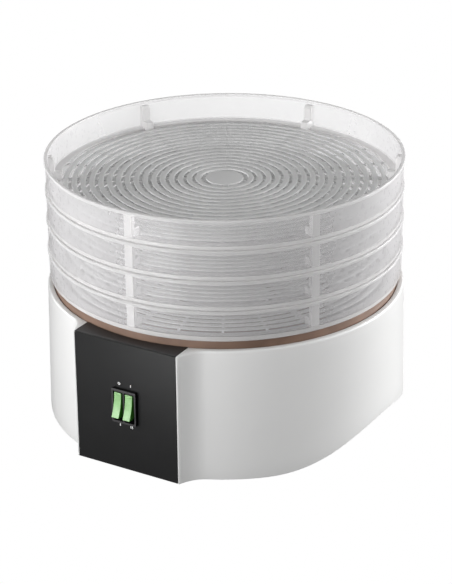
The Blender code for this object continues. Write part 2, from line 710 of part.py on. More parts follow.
def build_heater(mats):
    stub = DUCT_RADIUS + 8 * MM
    half_gap = math.radians(14)
    steps = 26
    points = [(-HEATER_STUB_X, stub, HEATER_Z), (-HEATER_STUB_X, 62 * MM, HEATER_Z)]
    for i in range(steps + 1):
        a = math.pi / 2 + half_gap + (math.tau - 2 * half_gap) * i / steps
        points.append(polar(HEATER_RADIUS, a, HEATER_Z))
    points += [(-x, y, z) for x, y, z in reversed(points[:2])]
    wire("heater_element", [Vector(p) / MM for p in points], HEATER_TUBE, mats["heater"],
         sides=2, per_span=1)
    build_heater_clips(mats["zinc"])


def build_heater_clips(mat):
    """Three sheet-metal arms that reach from the duct wall and cradle the heater tube."""
    sheet = CLIP_SHEET
    arm = HEATER_Z - HEATER_TUBE - GAP
    low = arm - sheet
    top = HEATER_Z + 1 * MM
    tab_top = top + 5 * MM
    wall = DUCT_RADIUS - DUCT_WALL - 2 * GAP
    inner = HEATER_RADIUS - HEATER_TUBE - 2 * GAP
    outer = HEATER_RADIUS + HEATER_TUBE + 2 * GAP
    section = [(inner - sheet, low), (wall, low), (wall, tab_top), (wall - sheet, tab_top),
               (wall - sheet, arm), (outer + sheet, arm), (outer + sheet, top), (outer, top),
               (outer, arm), (inner, arm), (inner, top), (inner - sheet, top)]
    for number, degrees in enumerate((30, 150, 270), 1):
        add_object(f"heater_clip_{number}",
                   radial_plate(section, CLIP_WIDTH, math.radians(degrees)), mat)


def build_thermal_cutout(mat):
    """Button-shaped safety thermostat on the outside of the duct."""
    profile = [(0, 0), (8, 0), (8, 1.2), (6.5, 1.4), (6.5, 7), (0, 7)]
    angle = math.radians(200)
    bm = turned([(r * MM, z * MM) for r, z in profile], 16)
    moved(bm, turn=math.pi / 2, axis="Y")
    moved(bm, polar(DUCT_RADIUS + 2 * GAP, angle, 84 * MM), angle)
    add_object("thermal_cutout", bm, mat)


def build_wiring(mats):
    """Terminal block, cord gland and the leads between them and what they feed."""
    top = 43 * MM
    body = block((-18 * MM, 18 * MM), (112 * MM, 130 * MM), (COVER_TOP + GAP, top))
    terminals = add_object("terminal_block", body, mats["cream"])
    wells = [moved(disc(3 * MM, top - 7 * MM, top + PAST, 10), (x * MM, 126 * MM, 0))
             for x in (-12, 0, 12)]
    cut(terminals, *wells)
    tip = PANEL_REACH + 9.8 * MM
    flange = BASE_FOOT_RADIUS + GAP
    profile = [(3.6, 158.0), (6.1, 158.0), (6.1, flange / MM), (9.5, flange / MM),
               (9.5, flange / MM + 2.5), (7.0, flange / MM + 3.5), (5.2, tip / MM),
               (3.6, tip / MM)]
    gland = turned([(r * MM, z * MM) for r, z in profile], 20)
    moved(gland, (0, 0, GLAND_Z), -math.pi / 2, "X")
    add_object("cord_gland", gland, mats["rubber"])
    thin = 1.2 * MM
    leads = {
        "lead_live": [(-12, 121, 44), (-14, 121, 52), (-60, 112, 50), (-112, 60, 45),
                      (-124, 0, 45), (-112, -66, 50), (-70, -118, 60), (-20, -131, 71),
                      (-5.7, -136, 72), (-5.7, -140.5, 72)],
        "lead_heater": [(5.7, -140.5, 58), (5.7, -136, 58), (22, -128, 58), (72, -108, 70),
                        (112, -50, 80), (118, 10, 86), (84, 72, 92), (40, 100, 98),
                        (14, 100, 98), (8.7, 90, 98), (8.7, 82.4, 98)],
        "lead_neutral": [(0, 121, 44), (-3, 120, 60), (-14, 108, 84), (-12, 96, 96),
                         (-8.7, 90, 98), (-8.7, 82.4, 98)],
        "lead_motor": [(-5.7, -140.5, 58), (-5.7, -136, 58), (-8, -104, 41), (-5, -82, 38),
                       (-5, -66, 40), (-5, -58.8, 40)],
        "lead_motor_return": [(12, 121, 44), (14, 121, 52), (60, 112, 46), (108, 60, 38),
                              (118, 0, 38), (100, -66, 38), (44, -96, 38), (8, -86, 38),
                              (5, -68, 40), (5, -58.8, 40)],
    }
    for name, points in leads.items():
        wire(name, points, thin, mats["lead"], sides=1, per_span=2)


# ---- trays --------------------------------------------------------------------------
def build_tray(number, mat, parent):
    """A one-piece tray: lip, wall, slotted floor, locating skirt and six stepped ribs."""
    rim = LOWEST_RIM + (number - 1) * TRAY_PITCH
    origin = pivot(f"tray_{number}_axis", (0, 0, TRAY_PITCH if parent else rim))
    origin.parent = parent
    band_low = -TRAY_PITCH + GAP
    skirt_low = band_low - SKIRT_DROP
    skirt_inner = SKIRT_RADIUS - SKIRT_THICK
    floor_low = -FLOOR_LEVEL - FLOOR_THICK
    wall_foot = WALL_OUTER - 0.4 * MM
    profile = [(RIM_RADIUS, 0), (RIM_RADIUS, -LIP_DEPTH), (WALL_OUTER, -LIP_DEPTH),
               (wall_foot, -FLOOR_LEVEL), (BAND_RADIUS, -FLOOR_LEVEL), (BAND_RADIUS, band_low),
               (SKIRT_RADIUS, band_low), (SKIRT_RADIUS, skirt_low), (skirt_inner, skirt_low),
               (skirt_inner, floor_low), (0, floor_low), (0, -FLOOR_LEVEL),
               (LIP_INNER, -FLOOR_LEVEL), (LIP_INNER, 0)]
    tray = add_object(f"tray_{number}", turned(profile), mat, parent=origin)
    ribs = [radial_plate(rib_section(), RIB_WIDTH, rib_angle(i)) for i in range(RIB_COUNT)]
    join(tray, *ribs, offset=(0, 0, rim))
    cut(tray, *arc_slots(floor_low - PAST, PAST - FLOOR_LEVEL), offset=(0, 0, rim))
    return origin


def rib_section():
    """Side view of a rib: slim above its step, deep below it, rooted in the wall and floor."""
    root = LIP_INNER + 1 * MM
    slim = LIP_INNER - RIB_SLIM
    deep = LIP_INNER - RIB_DEEP
    foot = -FLOOR_LEVEL - 1 * MM
    return [(root, -RIB_TOP), (slim + RIB_CHAMFER, -RIB_TOP), (slim, -RIB_TOP - RIB_CHAMFER),
            (slim, -RIB_STEP), (deep, -RIB_STEP), (deep, foot), (root, foot)]


def rib_angle(index):
    """Ribs are evenly spaced and one of them lines up with the control panel."""
    return -math.pi / 2 + math.tau * index / RIB_COUNT


def main():
    clear_scene()
    white = material("white plastic", (0.80, 0.80, 0.80), 0.3)
    black = material("black plastic", (0.025, 0.025, 0.027), 0.45)
    grey = material("dark grey plastic", (0.10, 0.10, 0.11), 0.55)
    deck = material("heat-proof plastic", (0.22, 0.16, 0.12), 0.5)
    tray = material("frosted plastic", (0.86, 0.87, 0.89), 0.35, alpha=0.45)
    green = material("green lens", (0.18, 0.55, 0.20), 0.25)
    mats = {
        "rubber": material("black rubber", (0.03, 0.03, 0.03), 0.8),
        "steel": material("lamination steel", (0.45, 0.45, 0.46), 0.4, 0.9),
        "zinc": material("zinc plate", (0.70, 0.70, 0.72), 0.35, 0.9),
        "alu": material("aluminium", (0.75, 0.75, 0.77), 0.35, 0.9),
        "copper": material("enamelled copper", (0.60, 0.26, 0.12), 0.4, 0.7),
        "bronze": material("bearing bronze", (0.55, 0.38, 0.18), 0.45, 0.8),
        "brass": material("brass", (0.72, 0.55, 0.25), 0.35, 0.9),
        "heater": material("heater sheath", (0.25, 0.24, 0.23), 0.5, 0.8),
        "cream": material("cream plastic", (0.75, 0.70, 0.58), 0.5),
        "lead": material("lead insulation", (0.75, 0.72, 0.66), 0.6),
    }
    build_housing(white)
    build_panel(black)
    build_bottom_cover(grey)
    build_feet(mats["rubber"])
    build_air_deck(deck)
    cap_top = build_drip_cap(deck)
    build_screws(mats["zinc"], cap_top)
    build_switch_body(black)
    build_rocker("rocker_left", -ROCKER_X, green)
    build_rocker("rocker_right", ROCKER_X, green)
    build_switch_tabs(mats["brass"])
    build_motor(mats)
    build_fan(mats)
    build_duct(mats["zinc"])
    build_heater(mats)
    build_thermal_cutout(mats["steel"])
    build_wiring(mats)
    below = None
    for number in range(1, TRAY_COUNT + 1):
        below = build_tray(number, tray, below)


main()
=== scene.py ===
"""The looks of a round stacking food dehydrator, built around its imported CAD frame.

Units are metres, +Z is up and the control panel faces -Y. The outer nodes of the CAD model
are replaced by fine meshes that take their places from the nodes' own boxes. The bottom
cover, the screws and the inner pieces keep their CAD meshes and get procedural materials.
"""
import json
import math

import bmesh
import bpy
from mathutils import Matrix, Vector


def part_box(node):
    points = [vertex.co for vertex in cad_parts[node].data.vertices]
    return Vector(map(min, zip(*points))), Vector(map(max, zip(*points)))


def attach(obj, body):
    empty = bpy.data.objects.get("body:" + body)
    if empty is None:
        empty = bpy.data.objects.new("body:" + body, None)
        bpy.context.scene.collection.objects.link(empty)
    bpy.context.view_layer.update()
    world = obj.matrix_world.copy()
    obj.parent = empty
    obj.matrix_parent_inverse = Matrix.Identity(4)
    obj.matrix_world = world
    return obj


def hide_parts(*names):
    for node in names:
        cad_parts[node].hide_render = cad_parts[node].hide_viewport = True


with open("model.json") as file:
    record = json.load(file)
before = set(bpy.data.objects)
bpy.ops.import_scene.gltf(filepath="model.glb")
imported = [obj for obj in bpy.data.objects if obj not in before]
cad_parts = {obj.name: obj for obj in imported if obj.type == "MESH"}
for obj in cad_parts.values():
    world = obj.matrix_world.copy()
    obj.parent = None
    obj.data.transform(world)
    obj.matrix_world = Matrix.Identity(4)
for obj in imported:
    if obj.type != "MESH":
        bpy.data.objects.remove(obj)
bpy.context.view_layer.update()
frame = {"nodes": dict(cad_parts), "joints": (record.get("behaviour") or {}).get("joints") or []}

MM = 0.001
TRAYS = ["tray_1", "tray_2", "tray_3", "tray_4"]

# ---- sizes read from the frame ------------------------------------------------------
housing_low, housing_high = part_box("housing")
panel_low, panel_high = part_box("control_panel")
top_tray_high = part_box("tray_4")[1]
deck_low, deck_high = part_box("air_deck")
switch_low, switch_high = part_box("switch_body")
RIM_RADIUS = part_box("tray_1")[1].x
RIMS = {name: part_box(name)[1].z for name in TRAYS}        # height of each tray's rim
FOOT_Z = housing_low.z
BASE_TOP = housing_high.z
FOOT_RADIUS = housing_high.y
TOP_RADIUS = FOOT_RADIUS - 2.5 * MM
PANEL_Y = panel_low.y
PANEL_HALF = panel_high.x
PANEL_TOP = panel_high.z
DECK_RADIUS = deck_high.x
MOUTH_RADIUS = DECK_RADIUS + 0.8 * MM
SWITCH_Z = (switch_low.z + switch_high.z) / 2

# ---- sizes of the fine shapes -------------------------------------------------------
AROUND = 160                         # sides of a full-size round piece
GAP = 0.3 * MM                       # clearance between neighbouring pieces
BORDER = 1.5 * MM                    # white edge of the housing beside the panel
PANEL_DEPTH = 2.3 * MM               # thickness of the control panel's moulding
HOUSING_WALL = 2.5 * MM
ARCH_RISE = 23.7 * MM
ARCH_HALF_SPAN = 123.0 * MM
BLEND_ANGLE = math.radians(25)       # where the blend beside the panel joins the round wall
BLEND_PULL = 12.0 * MM               # from there to the blend's control point
LIP_INNER = RIM_RADIUS - 3.5 * MM
FLOOR_LEVEL = 24.2 * MM              # tray floor below its rim
RIB_COUNT = 6
SLAT_PITCH = 8.0 * MM
SLAT_WIDTH = 4.9 * MM
SLAT_COUNT = 16
SPOKE_COUNT = 24


# ---- materials ----------------------------------------------------------------------
def mottled(name, color, roughness, tint=0.05, tint_scale=40.0, grain_scale=900.0,
            rough_spread=0.06, bump=0.06, metallic=0.0, stretch=(1, 1, 1), **constants):
    """A surface whose colour drifts softly, with a fine grain in its roughness and bump.

    Further keywords name Principled sockets that stay constant, such as IOR.
    """
    mat = bpy.data.materials.new(name)
    mat.use_nodes = True
    nodes = mat.node_tree.nodes
    links = mat.node_tree.links
    shader = nodes["Principled BSDF"]
    shader.inputs["Metallic"].default_value = metallic
    for socket, value in constants.items():
        shader.inputs[socket.replace("_", " ")].default_value = value

    place = nodes.new("ShaderNodeTexCoord")
    mapping = nodes.new("ShaderNodeMapping")
    mapping.inputs["Scale"].default_value = stretch
    links.new(place.outputs["Object"], mapping.inputs["Vector"])

    drift = nodes.new("ShaderNodeTexNoise")
    drift.inputs["Scale"].default_value = tint_scale
    drift.inputs["Detail"].default_value = 4.0
    links.new(mapping.outputs["Vector"], drift.inputs["Vector"])
    ramp = nodes.new("ShaderNodeValToRGB")
    ramp.color_ramp.elements[0].position = 0.3
    ramp.color_ramp.elements[1].position = 0.7
    ramp.color_ramp.elements[0].color = (*[c * (1 - tint) for c in color], 1)
    ramp.color_ramp.elements[1].color = (*[min(1.0, c * (1 + tint)) for c in color], 1)
    links.new(drift.outputs["Fac"], ramp.inputs["Fac"])
    links.new(ramp.outputs["Color"], shader.inputs["Base Color"])

    grain = nodes.new("ShaderNodeTexNoise")
    grain.inputs["Scale"].default_value = grain_scale
    grain.inputs["Detail"].default_value = 3.0
    links.new(mapping.outputs["Vector"], grain.inputs["Vector"])
    spread = nodes.new("ShaderNodeMapRange")
    spread.inputs["To Min"].default_value = max(0.02, roughness - rough_spread)
    spread.inputs["To Max"].default_value = min(1.0, roughness + rough_spread)
    links.new(grain.outputs["Fac"], spread.inputs["Value"])
    links.new(spread.outputs["Result"], shader.inputs["Roughness"])
    raised = nodes.new("ShaderNodeBump")
    raised.inputs["Strength"].default_value = bump
    raised.inputs["Distance"].default_value = 0.2 * MM
    links.new(grain.outputs["Fac"], raised.inputs["Height"])
    links.new(raised.outputs["Normal"], shader.inputs["Normal"])
    return mat


def frosted(name, color, alpha, edge_alpha, roughness):
    """Milky see-through plastic that looks denser where it is seen at a slant."""
    mat = mottled(name, color, roughness, tint=0.03, tint_scale=25.0, grain_scale=250.0,
                  rough_spread=0.03, bump=0.003, IOR=1.49)
    nodes = mat.node_tree.nodes
    links = mat.node_tree.links
    facing = nodes.new("ShaderNodeLayerWeight")
    facing.inputs["Blend"].default_value = 0.5
    dense = nodes.new("ShaderNodeMapRange")
    dense.inputs["To Min"].default_value = alpha
    dense.inputs["To Max"].default_value = edge_alpha
    links.new(facing.outputs["Facing"], dense.inputs["Value"])
    links.new(dense.outputs["Result"], nodes["Principled BSDF"].inputs["Alpha"])
    return mat


def make_materials():
    """All materials by the short names that the builders use."""
    return {
        "white": mottled("housing_white", (0.82, 0.82, 0.815), 0.30, tint=0.012, tint_scale=18.0,
                         grain_scale=700.0, bump=0.03, rough_spread=0.04),
        "black": mottled("panel_black", (0.012, 0.012, 0.0125), 0.40, tint=0.10, tint_scale=30.0,
                         grain_scale=1800.0, bump=0.12),
        # Front of the switch bezel: black plastic lifted to a grey as a painted reflection of the
        # light in front.
        "bezel": mottled("switch_face_painted_reflection", (0.055, 0.053, 0.055), 0.36, tint=0.10,
                         grain_scale=1500.0, bump=0.08),
        # Sides, back and pocket walls of the same bezel plastic: a darker, less glossy black as
        # painted shade.
        "bezel_painted_shade": mottled("switch_black", (0.006, 0.006, 0.006), 0.50, tint=0.10,
                              grain_scale=1500.0, bump=0.08, Specular_IOR_Level=0.12),
        "cover": mottled("cover_grey", (0.13, 0.13, 0.14), 0.55, tint=0.08, bump=0.25),
        "deck": mottled("deck_brown", (0.20, 0.125, 0.09), 0.45, tint=0.24, tint_scale=26.0,
                        grain_scale=600.0, bump=0.12),
        "wall": frosted("tray_frosted", (0.80, 0.79, 0.80), 0.15, 0.62, 0.28),
        "lip": frosted("tray_lip", (0.92, 0.91, 0.91), 0.42, 0.75, 0.24),
        "rib": frosted("tray_rib", (0.94, 0.93, 0.93), 0.66, 0.82, 0.26),
        "grid": frosted("tray_grid", (0.90, 0.90, 0.90), 0.70, 0.92, 0.35),
        "green": mottled("rocker_green", (0.31, 0.55, 0.25), 0.22, tint=0.10, tint_scale=220.0,
                         grain_scale=900.0, bump=0.05),
        # Side faces of the rockers: the same green plastic made darker as painted shade from the
        # pocket around them.
        "side": mottled("rocker_green_painted_shade", (0.05, 0.26, 0.02), 0.34, tint=0.12,
                        tint_scale=220.0, grain_scale=900.0, bump=0.05),
        "mark": mottled("mark_white", (0.85, 0.85, 0.85), 0.5, tint=0.03, bump=0.04),
        "rubber": mottled("foot_rubber", (0.035, 0.035, 0.036), 0.75, tint=0.12, bump=0.3),
        "steel": mottled("steel", (0.45, 0.45, 0.46), 0.38, metallic=0.9, bump=0.1,
                         stretch=(1, 1, 12)),
        "zinc": mottled("zinc_plate", (0.68, 0.68, 0.71), 0.33, metallic=0.9, tint=0.08,
                        tint_scale=90.0, bump=0.08),
        "alu": mottled("impeller_alu", (0.74, 0.74, 0.76), 0.34, metallic=0.9, bump=0.08,
                       stretch=(1, 10, 1)),
        "copper": mottled("copper_winding", (0.58, 0.24, 0.10), 0.36, metallic=0.7, tint=0.15,
                          bump=0.5, stretch=(1, 1, 6)),
        "bronze": mottled("bronze", (0.52, 0.36, 0.17), 0.45, metallic=0.8, bump=0.2),
        "brass": mottled("tab_brass", (0.70, 0.53, 0.24), 0.32, metallic=0.9, bump=0.06),
        "sheath": mottled("heater_sheath", (0.23, 0.21, 0.20), 0.48, metallic=0.8, tint=0.25,
                          tint_scale=60.0, bump=0.15),
        "cream": mottled("cream_plastic", (0.73, 0.68, 0.55), 0.5, bump=0.1),
        "lead": mottled("lead_insulation", (0.72, 0.70, 0.64), 0.55, tint=0.06, bump=0.15),
    }


# ---- mesh helpers -------------------------------------------------------------------
def add_piece(name, bm, mats, body, nodes=(), sharp=35, place=(0, 0, 0)):
    """Turn a bmesh into a smooth-shaded piece that rides on a body and stands for nodes."""
    bmesh.ops.remove_doubles(bm, verts=bm.verts, dist=1e-7)
    bmesh.ops.recalc_face_normals(bm, faces=bm.faces)
    mesh = bpy.data.meshes.new(name)
    bm.to_mesh(mesh)
    bm.free()
    mesh.shade_smooth()
    mesh.set_sharp_from_angle(angle=math.radians(sharp))
    for mat in mats:
        mesh.materials.append(mat)
    piece = bpy.data.objects.new(name, mesh)
    bpy.context.scene.collection.objects.link(piece)
    piece.location = place
    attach(piece, body)
    if nodes:
        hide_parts(*nodes)
    return piece


def soften(piece, width, segments=2, angle=40):
    """Round a piece's hard edges."""
    bevel = piece.modifiers.new("soft edges", "BEVEL")
    bevel.width = width
    bevel.segments = segments
    bevel.limit_method = "ANGLE"
    bevel.angle_limit = math.radians(angle)
    weighted = piece.modifiers.new("flat faces", "WEIGHTED_NORMAL")
    weighted.keep_sharp = True
    return piece


def cut(piece, bm, slot=0):
    """Take closed bodies out of a piece; the walls of the cut use one of its materials."""
    mesh = bpy.data.meshes.new(piece.name + "_cut")
    for mat in piece.data.materials:
        mesh.materials.append(mat)
    for face in bm.faces:
        face.material_index = slot
    bmesh.ops.recalc_face_normals(bm, faces=bm.faces)
    bm.to_mesh(mesh)
    bm.free()
    cutter = bpy.data.objects.new(mesh.name, mesh)
    bpy.context.scene.collection.objects.link(cutter)
    cutter.hide_render = True
    cutter.hide_viewport = True
    cutter.display_type = "WIRE"
    boolean = piece.modifiers.new(mesh.name, "BOOLEAN")
    boolean.operation = "DIFFERENCE"
    boolean.solver = "EXACT"
    boolean.object = cutter
    return piece


def merge(*bodies):
    """Put several bmeshes into one and free them."""
    whole = bmesh.new()
    for bm in bodies:
        mesh = bpy.data.meshes.new("part")
        bm.to_mesh(mesh)
        bm.free()
        whole.from_mesh(mesh)
        bpy.data.meshes.remove(mesh)
    return whole


def loft(loops, closed=True, caps=False, slot=0):
    """Skin closed loops of equal length. With closed, the last loop joins the first."""
    bm = bmesh.new()
    rows = [[bm.verts.new(p) for p in loop] for loop in loops]
    pairs = list(zip(rows, rows[1:]))
    if closed:
        pairs.append((rows[-1], rows[0]))
    for row, after in pairs:
        for i in range(len(row)):
            j = (i + 1) % len(row)
            bm.faces.new((row[i], row[j], after[j], after[i])).material_index = slot
    if caps:
        for row in (rows[0], rows[-1]):
            bm.faces.new(row).material_index = slot
    return bm


def turned(profile, steps=AROUND):
    """Spin a closed (radius, height) section about Z. Points on the axis become a pole."""
    bm = bmesh.new()
    columns = []
    for r, z in profile:
        if r < 1e-6:
            columns.append([bm.verts.new((0, 0, z))] * steps)
        else:
            columns.append([bm.verts.new((x, y, z)) for x, y in circle(r, steps)])
    for column, after in zip(columns, columns[1:] + columns[:1]):
        for i in range(steps):
            j = (i + 1) % steps
            corners = list(dict.fromkeys((column[i], column[j], after[j], after[i])))
            if len(corners) > 2:
                bm.faces.new(corners)
    return bm


def rounded(outline, radius, segments=4, only=None):
    """Replace the corners of a closed outline by arcs: all of them, or those listed in only."""
    points = []
    count = len(outline)
    for i, corner in enumerate(outline):
        here = Vector(corner)
        before = Vector(outline[i - 1]) - here
        after = Vector(outline[(i + 1) % count]) - here
        opening = before.angle(after)
        if (only is not None and i not in only) or opening > math.pi - 0.05:
            points.append(tuple(here))
            continue
        reach = min(radius / math.tan(opening / 2), before.length * 0.49, after.length * 0.49)
        bow = reach * math.tan(opening / 2)
        middle = (before.normalized() + after.normalized()).normalized()
        centre = here + middle * math.hypot(bow, reach)
        first = here + before.normalized() * reach - centre
        last = here + after.normalized() * reach - centre
        start = math.atan2(first.y, first.x)
        sweep = math.remainder(math.atan2(last.y, last.x) - start, math.tau)
        for step in range(segments + 1):
            angle = start + sweep * step / segments
            points.append((centre.x + bow * math.cos(angle), centre.y + bow * math.sin(angle)))
    return points


def prism(outline, low, high):
    """Extrude an (x, y) outline between two heights."""
    return loft([[(x, y, z) for x, y in outline] for z in (low, high)], closed=False, caps=True)


def block(x, y, z):
    """A box between the (low, high) pairs of its three directions."""
    return prism([(x[0], y[0]), (x[1], y[0]), (x[1], y[1]), (x[0], y[1])], *z)


def moved(bm, offset=(0, 0, 0), turn=0.0, axis="Z"):
    """Turn a bmesh about an axis through the origin, then shift it."""
    bm.transform(Matrix.Translation(Vector(offset)) @ Matrix.Rotation(turn, 4, axis))
    return bm


def circle(radius, steps):
    """Points of a round (x, y) outline."""
    return [(radius * math.cos(a), radius * math.sin(a))
            for a in (math.tau * i / steps for i in range(steps))]


# ---- outline of the base ------------------------------------------------------------
def base_plan(radius, reach, border, recess):
    """Plan of the base as (x, y, zone) points, counter-clockwise from the middle front.

    The zone says what a point belongs to: the panel's recess, its white border, or the
    round wall with its hollow blends.
    """
    chamfer = 0.35 * MM
    half = PANEL_HALF + GAP
    face_steps = 12
    side = [(half * i / face_steps, recess - reach, "recess") for i in range(face_steps + 1)]
    side += [(half, chamfer - reach, "border"), (half + chamfer, -reach, "border"),
             (border - chamfer, -reach, "border")]
    corner = Vector((border, -reach))
    end = radius * Vector((math.sin(BLEND_ANGLE), -math.cos(BLEND_ANGLE)))
    pull = end - BLEND_PULL * Vector((math.cos(BLEND_ANGLE), math.sin(BLEND_ANGLE)))
    start = corner + (pull - corner).normalized() * chamfer
    blend_steps = 18
    for i in range(blend_steps):
        t = i / blend_steps
        point = start * (1 - t) ** 2 + pull * 2 * t * (1 - t) + end * t ** 2
        side.append((point.x, point.y, "wall"))
    wall_steps = 76
    for i in range(wall_steps + 1):
        a = BLEND_ANGLE + (math.pi - BLEND_ANGLE) * i / wall_steps
        side.append((radius * math.sin(a), -radius * math.cos(a), "wall"))
    return side + [(-x, y, zone) for x, y, zone in side[-2:0:-1]]


def arch_lift(y):
    """How far the intake arch raises the housing's lower edge."""
    if abs(y) >= ARCH_HALF_SPAN:
        return 0.0
    return ARCH_RISE * (1 + math.cos(math.pi * y / ARCH_HALF_SPAN)) / 2


def mouth_point(x, y, zone, radius):
    """Where a point of the base's outline meets the round mouth of the housing."""
    border = PANEL_HALF + BORDER
    if zone != "wall":
        return (x, -math.sqrt(radius ** 2 - x ** 2))
    first = math.atan2(border, -PANEL_Y)
    share = (math.atan2(abs(x), -y) - first) / (math.pi - first)
    start = math.asin(border / radius)
    angle = start + share * (math.pi - start)
    return (math.copysign(radius * math.sin(angle), x), -radius * math.cos(angle))


# ---- base: housing ------------------------------------------------------------------
def build_housing(mats):
    """White shell: tapered outer wall, round mouth with a ledge for the deck, inner wall."""
    reach = -PANEL_Y
    border = PANEL_HALF + BORDER
    recess = PANEL_DEPTH + GAP
    under = PANEL_TOP - PANEL_DEPTH - GAP
    ledge_top = deck_low.z - GAP
    ledge_inner = MOUTH_RADIUS - 3.4 * MM
    foot_round = [(0.9, 0.0), (0.4, 0.12), (0.1, 0.42), (0.0, 0.95)]         # inset, rise in mm
    top_round = [(0.0, 2.6), (0.08, 1.7), (0.35, 0.85), (0.8, 0.28), (1.5, 0.0)]  # inset, depth
    wall_steps = 9
    front_share = 0.7                # the front moves in less than the round wall

    def plans(inset, flat):
        """Plans at the foot and at the top. A flat one passes behind the panel's recess."""
        shift = inset * front_share
        if flat:
            shift = max(shift, recess + 1.3 * MM)
        depth = 0.0 if flat else recess
        return [base_plan(r - inset, reach - shift, border - shift * front_share, depth)
                for r in (FOOT_RADIUS, TOP_RADIUS)]

    def ring_at(inset, height, flat=False):
        """A loop of the wall; height(y, zone) gives z, and the taper follows from z."""
        foot, top = plans(inset, flat)
        points = []
        for (x0, y0, zone), (x1, y1, _) in zip(foot, top):
            z = height(y0, zone)
            s = (z - FOOT_Z) / (BASE_TOP - FOOT_Z)
            points.append((x0 + (x1 - x0) * s, y0 + (y1 - y0) * s, z))
        return points

    def near_foot(rise):
        """Heights measured up from the lower edge with its arches."""
        return lambda y, zone: FOOT_Z + arch_lift(y) + rise

    def near_top(depth):
        """Heights measured down from the top edge, which is lower under the panel's strip."""
        return lambda y, zone: (under if zone == "recess" else BASE_TOP) - depth

    def between(share):
        """Heights a share of the way from the rounded foot to the rounded top."""
        low = near_foot(foot_round[-1][1] * MM)
        high = near_top(top_round[0][1] * MM)
        return lambda y, zone: low(y, zone) + (high(y, zone) - low(y, zone)) * share

    def level(z):
        """The same height all round."""
        return lambda y, zone: z

    def round_loop(radius, height):
        """A loop of the round mouth, point for point like the loops of the wall."""
        outline = base_plan(TOP_RADIUS, reach, border, recess)
        return [(*mouth_point(x, y, zone, radius), height(y, zone)) for x, y, zone in outline]

    loops = [ring_at(inset * MM, near_foot(rise * MM)) for inset, rise in foot_round]
    loops += [ring_at(0.0, between(i / wall_steps)) for i in range(1, wall_steps)]
    loops += [ring_at(inset * MM, near_top(depth * MM)) for inset, depth in top_round]
    lip = 0.4 * MM
    loops += [round_loop(MOUTH_RADIUS + lip, near_top(0.0)),
              round_loop(MOUTH_RADIUS, near_top(lip)),
              round_loop(MOUTH_RADIUS, level(ledge_top)),
              round_loop(ledge_inner, level(ledge_top)),
              round_loop(ledge_inner, level(ledge_top - HOUSING_WALL))]
    loops += [ring_at(HOUSING_WALL * 2, level(ledge_top - 2 * HOUSING_WALL), flat=True),
              ring_at(HOUSING_WALL, near_foot(3 * MM), flat=True),
              ring_at(HOUSING_WALL, near_foot(0.0), flat=True)]
    housing = add_piece("housing_shell", loft(loops), [mats["white"]], "base", ["housing"],
                        sharp=40)
    cut_switch_hole(housing, 11.9 * MM, 15.8 * MM)


def cut_switch_hole(piece, half_x, half_z):
    """Cut the opening for the switch through the front of the housing or the panel."""
    cut(piece, block((-half_x, half_x), (PANEL_Y - 5 * MM, PANEL_Y + 12 * MM),
                     (SWITCH_Z - half_z, SWITCH_Z + half_z)))


# ---- base: control panel ------------------------------------------------------------
def build_panel(mats):
    """Black front plate that folds over at the top and runs back to the round mouth.

    A fine groove near the top of the face parts it from the strip on top.
    """
    back = PANEL_Y + PANEL_DEPTH
    groove_low, groove_high = PANEL_TOP - 1.1 * MM, PANEL_TOP - 0.5 * MM
    groove_back, strip_front = PANEL_Y + 1.2 * MM, PANEL_Y + 0.2 * MM
    loops = []
    steps = 28
    for i in range(steps + 1):
        x = PANEL_HALF * (2 * i / steps - 1)
        mouth = -math.sqrt(MOUTH_RADIUS ** 2 - x ** 2)
        section = [(PANEL_Y, panel_low.z), (PANEL_Y, groove_low), (groove_back, groove_low),
                   (groove_back, groove_high), (strip_front, groove_high),
                   (strip_front, PANEL_TOP), (mouth, PANEL_TOP),
                   (mouth, PANEL_TOP - PANEL_DEPTH), (back, PANEL_TOP - PANEL_DEPTH),
                   (back, panel_low.z)]
        loops.append([(x, y, z) for y, z in rounded(section, 0.25 * MM, 2, only=[1, 5])])
    panel = add_piece("panel_face", loft(loops, closed=False, caps=True), [mats["black"]], "base",
                      ["control_panel"], sharp=30)
    overlap = 1.0 * MM               # of the bezel over the edge of the opening
    cut_switch_hole(panel, switch_high.x - overlap, switch_high.z - SWITCH_Z - overlap)
    soften(panel, 0.35 * MM, angle=50)


# ---- switch -------------------------------------------------------------------------
def front_prism(outline, front, back):
    """Extrude an (x, z) outline along Y, from the front to the back."""
    bm = prism(outline, -back, -front)
    bm.transform(Matrix(((1, 0, 0, 0), (0, 0, -1, 0), (0, 1, 0, 0), (0, 0, 0, 1))))
    return bm


def rectangle(half_x, half_z, middle_z=SWITCH_Z, middle_x=0.0):
    """Corners of an upright (x, z) rectangle."""
    return [(middle_x - half_x, middle_z - half_z), (middle_x + half_x, middle_z - half_z),
            (middle_x + half_x, middle_z + half_z), (middle_x - half_x, middle_z + half_z)]


